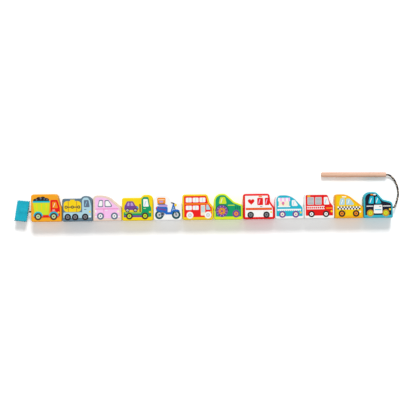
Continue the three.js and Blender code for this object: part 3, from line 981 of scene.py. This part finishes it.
def felt_object(name, front, material, place):
    """One felt layer of the tag: pinked edges, raised over the end of the lace."""
    across, up = (max(1, round(size / PINKING_PITCH)) for size in (TAG_WIDTH, TAG_LENGTH))
    columns, rows = across * TOOTH_STEPS, up * TOOTH_STEPS
    flip = 1 if front else -1

    def notch(share, teeth):
        return PINKING_DEPTH * (1 - abs(2 * (share * teeth % 1) - 1))

    def fading(distance):
        return max(0.0, 1 - distance / PINKING_REACH) ** 2

    under, over = [], []
    for row in range(rows + 1):
        for column in range(columns + 1):
            s, t = column / columns, row / rows
            x = notch(t, up) * (fading(s * TAG_WIDTH) - fading((1 - s) * TAG_WIDTH))
            y = notch(s, across) * (fading(t * TAG_LENGTH) - fading((1 - t) * TAG_LENGTH))
            flat = TAG_SKEW @ Vector(((s - 0.5) * TAG_WIDTH + x, (t - 0.5) * TAG_LENGTH + y))
            flat += TAG_CENTRE
            low = FELT_GAP / 2 + ridge_height(flat.x, flat.y)
            rim = row in (0, rows) or column in (0, columns)
            high = low + FELT_THICKNESS * (FELT_RIM_SHARE if rim else 1)
            under.append((flat.x, flat.y, low * flip))
            over.append((flat.x, flat.y, high * flip))
    wide, count = columns + 1, len(under)
    faces = []
    for row in range(rows):
        for column in range(columns):
            corner = row * wide + column
            quad = (corner, corner + 1, corner + wide + 1, corner + wide)
            faces.append(tuple(reversed(quad)))
            faces.append(tuple(point + count for point in quad))
    border = [*range(columns), *(row * wide + columns for row in range(rows))]
    border += [*(rows * wide + column for column in range(columns, 0, -1))]
    border += [*(row * wide for row in range(rows, 0, -1))]
    for before, after in zip(border, border[1:] + border[:1]):
        faces.append((before, after, after + count, before + count))
    made = mesh_object(name, under + over, faces, [material])
    made.data.transform(place)
    tidy(made.data)
    return shaded(made, FELT_SHARP_DEG)


def stitch_object(name, material, place):
    """A running stitch round the tag, on both faces, as short threads that dip into the felt."""
    width, length = TAG_WIDTH / 2 - STITCH_INSET, TAG_LENGTH / 2 - STITCH_INSET
    corners = [(-width, -length), (width, -length), (width, length), (-width, length)]
    corners = [Vector(corner) for corner in corners]
    surface = FELT_GAP / 2 + FELT_THICKNESS
    radius = THREAD_DIAMETER / 2
    points, faces = [], []
    for i, start in enumerate(corners):
        run = corners[(i + 1) % len(corners)] - start
        way = (TAG_SKEW @ run).normalized()
        across = Vector((-way.y, way.x))
        count = round(run.length / (STITCH_LENGTH + STITCH_SPACE))
        for stitch in range(count):
            first, last = (start + run * ((stitch + share) / count) for share in STITCH_SHOWS)
            for flip in (1, -1):
                base = len(points)
                for step in range(STITCH_STEPS + 1):
                    share = step / STITCH_STEPS
                    flat = TAG_SKEW @ first.lerp(last, share) + TAG_CENTRE
                    rise = surface + ridge_height(flat.x, flat.y)
                    rise += THREAD_DIAMETER * (THREAD_BOW * math.sin(math.pi * share) - THREAD_DIP)
                    for side in range(THREAD_SIDES):
                        angle = 2 * math.pi * side / THREAD_SIDES
                        spot = flat + across * (math.cos(angle) * radius)
                        points.append((spot.x, spot.y, (rise + math.sin(angle) * radius) * flip))
                faces += ring_faces(STITCH_STEPS + 1, THREAD_SIDES, base)
                for cap in (base, len(points) - THREAD_SIDES):
                    faces.append(tuple(range(cap, cap + THREAD_SIDES)))
    made = mesh_object(name, points, faces, [material])
    made.data.transform(place)
    tidy(made.data)
    return made


# Camera
camera = bpy.data.objects.new("camera", bpy.data.cameras.new("camera"))
bpy.context.scene.collection.objects.link(camera)
camera.location = Vector((CAMERA_X, CAMERA_Y, CAMERA_HEIGHT)) * MM
camera.rotation_euler = (0, 0, math.radians(CAMERA_TURN_DEG))
camera.data.sensor_width = SENSOR_WIDTH
camera.data.lens = SENSOR_WIDTH * (CAMERA_HEIGHT - PICTURE_PLANE) / PICTURE_WIDTH
bpy.context.scene.camera = camera

# Lace: the stretch through the beads, and the free loop to the needle
row_low, row_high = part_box("tipper_truck_bead")[0] / MM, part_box("police_car_bead")[1] / MM
lace_axis_y = row_low.y + HOLE_RISE
threaded_low, threaded_high = (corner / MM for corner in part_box("lace_threaded"))
lace_exit = Vector((threaded_high.x + LACE_CLEARANCE + LACE_DIAMETER / 2, lace_axis_y, LACE_HEIGHT))
needle_radius = NEEDLE_DIAMETER / 2
needle_yaw = math.radians(NEEDLE_YAW_DEG)
needle_way = Vector((-math.cos(needle_yaw), -math.sin(needle_yaw), 0))
needle_mouth = Vector((lace_exit.x + NEEDLE_MOUTH[0], lace_exit.y + NEEDLE_MOUTH[1], needle_radius))
route = [Vector((lace_exit.x + x, lace_exit.y + y, z)) for x, y, z in LACE_ROUTE]
route += [needle_mouth, needle_mouth + needle_way * (NEEDLE_BORE_DEPTH - LACE_CLEARANCE)]

braid = braided("lace_braid")
start = Vector((threaded_low.x, lace_axis_y, LACE_HEIGHT))
end = lace_exit - Vector((LACE_BEND_START, 0, 0))
inner_lace, inner_path, inner_length = braid_object(
    "lace_in_beads", [start, end], LACE_HIDDEN_STEP, braid
)
stands_for(inner_lace, "lace", "lace_braid", "lace_threaded")
loop_lace, loop_path, loop_length = braid_object(
    "lace_loop", smooth_line(route, LACE_CURVE_STEPS), LACE_RING_STEP, braid
)
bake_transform(loop_lace)
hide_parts("lace_free")

# Beads and their prints
bare = wood("bare_wood", BARE_WOOD, BARE_GRAIN)
inks = {name: painted(f"ink_{name}", colour, INK_UNEVEN, INK_GRAIN) for name, colour in INKS.items()}
paints = {name: painted(f"paint_{name}", colour) for name, colour in PAINTS.items()}
paints["natural"] = wood("paint_natural", PAINTS["natural"], NATURAL_GRAIN)
for body, colour, draw, outline, sizes in BEADS:
    low, high = (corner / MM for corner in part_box(f"{body}_bead"))
    size = high - low
    place = Matrix.Translation(low * MM)
    corners = outline(size.x, size.y, **sizes)
    bead = bead_object(body, corners, size.x, size.z, place, paints[colour], bare)
    stands_for(bead, body, f"paint_{colour}", f"{body}_bead")
    art = Print(corners)
    draw(art)
    stands_for(print_object(body, art, size.z, place, inks), body, f"paint_{colour}")

# Needle: a turned dowel with the lace's end in a bore
bore = LACE_DIAMETER / 2 + LACE_CLEARANCE
profile = [
    (NEEDLE_BORE_DEPTH, 0), (NEEDLE_BORE_DEPTH, bore),
    (NEEDLE_BORE_CHAMFER, bore), (0, bore + NEEDLE_BORE_CHAMFER),
]
for step in range(NEEDLE_END_STEPS + 1):
    angle = math.pi / 2 * step / NEEDLE_END_STEPS
    profile.append((
        NEEDLE_END_ROUND * (1 - math.cos(angle)),
        needle_radius - NEEDLE_END_ROUND * (1 - math.sin(angle)),
    ))
for step in range(NEEDLE_TIP_STEPS + 1):
    angle = math.pi / 2 * step / NEEDLE_TIP_STEPS
    profile.append((
        NEEDLE_LENGTH - NEEDLE_TIP_ROUND * (1 - math.sin(angle)),
        needle_radius - NEEDLE_TIP_ROUND * (1 - math.cos(angle)),
    ))
profile.append((NEEDLE_LENGTH, 0))
dowel = turned("needle_dowel", profile, NEEDLE_SIDES, wood("needle_wood", NEEDLE_WOOD, NEEDLE_GRAIN))
dowel.matrix_world = Matrix.Translation(needle_mouth * MM) @ Matrix.Rotation(math.pi + needle_yaw, 4, "Z")
stands_for(shaded(dowel), "needle", "needle_wood", "needle")

# Felt tag, sewn round its edge
felt = felted("tag_felt")
tag_place = Matrix.Translation(Vector((row_low.x - TAG_FROM_ROW, lace_axis_y, LACE_HEIGHT)) * MM)
tag_place = tag_place @ Matrix.Rotation(-math.radians(TAG_TILT_DEG), 4, "X")
stitching = stitch_object("tag_stitching", threaded("tag_thread"), tag_place)
stands_for(stitching, "tag", "tag_felt")
for node, front in (("tag_front", True), ("tag_back", False)):
    layer = felt_object(f"{node}_felt", front, felt, tag_place)
    stands_for(layer, "tag", "tag_felt", node)

# Floor, light and background
floor_net = Net("floor_white")
plain = floor_net.node("ShaderNodeBsdfDiffuse")
plain.inputs["Color"].default_value = (FLOOR_WHITE, FLOOR_WHITE, FLOOR_WHITE, 1)
lift = floor_net.node("ShaderNodeBsdfDiffuse")
rays = floor_net.node("ShaderNodeLightPath")
seen = floor_net.math("MAXIMUM", rays.outputs["Is Camera Ray"], rays.outputs["Is Glossy Ray"])
seen = floor_net.math("MAXIMUM", seen, rays.outputs["Is Transmission Ray"])
floor_net.feed(
    lift.inputs["Color"],
    floor_net.mix(seen, (0, 0, 0, 1), (FLOOR_LIFT, FLOOR_LIFT, FLOOR_LIFT, 1)),
)
both = floor_net.node("ShaderNodeAddShader")
floor_net.feed(both.inputs[0], plain.outputs[0])
floor_net.feed(both.inputs[1], lift.outputs[0])
floor_net.feed(floor_net.tree.nodes["Material Output"].inputs["Surface"], both.outputs[0])
half = FLOOR_SIZE / 2
floor = mesh_object(
    "floor", [(-half, -half, 0), (half, -half, 0), (half, half, 0), (-half, half, 0)], [(0, 1, 2, 3)],
    [floor_net.material],
)

for name, place, width, share in (
    ("soft_lamp", LAMP_PLACE, LAMP_WIDTH, LAMP_SHARE),
    ("near_lamp", NEAR_LAMP_PLACE, NEAR_LAMP_WIDTH, NEAR_LAMP_SHARE),
):
    way = Vector(place) * MM
    lamp = bpy.data.objects.new(name, bpy.data.lights.new(name, "AREA"))
    lamp.data.shape = "DISK"
    lamp.data.size = width * MM
    lamp.data.energy = share * math.pi ** 2 * way.length ** 3 / way.z
    lamp.location = way
    lamp.rotation_euler = way.to_track_quat("Z", "Y").to_euler()
    bpy.context.scene.collection.objects.link(lamp)

world = bpy.data.worlds.new("studio")
world.use_nodes = True
bpy.context.scene.world = world
sky = world.node_tree.nodes["Background"]
sky.inputs["Color"].default_value = (1, 1, 1, 1)
world_rays = world.node_tree.nodes.new("ShaderNodeLightPath")
level = world.node_tree.nodes.new("ShaderNodeMapRange")
level.inputs["To Min"].default_value = FILL_SHARE
level.inputs["To Max"].default_value = 1.0
world.node_tree.links.new(world_rays.outputs["Is Camera Ray"], level.inputs["Value"])
world.node_tree.links.new(level.outputs["Result"], sky.inputs["Strength"])

bpy.context.scene.view_settings.view_transform = "Standard"
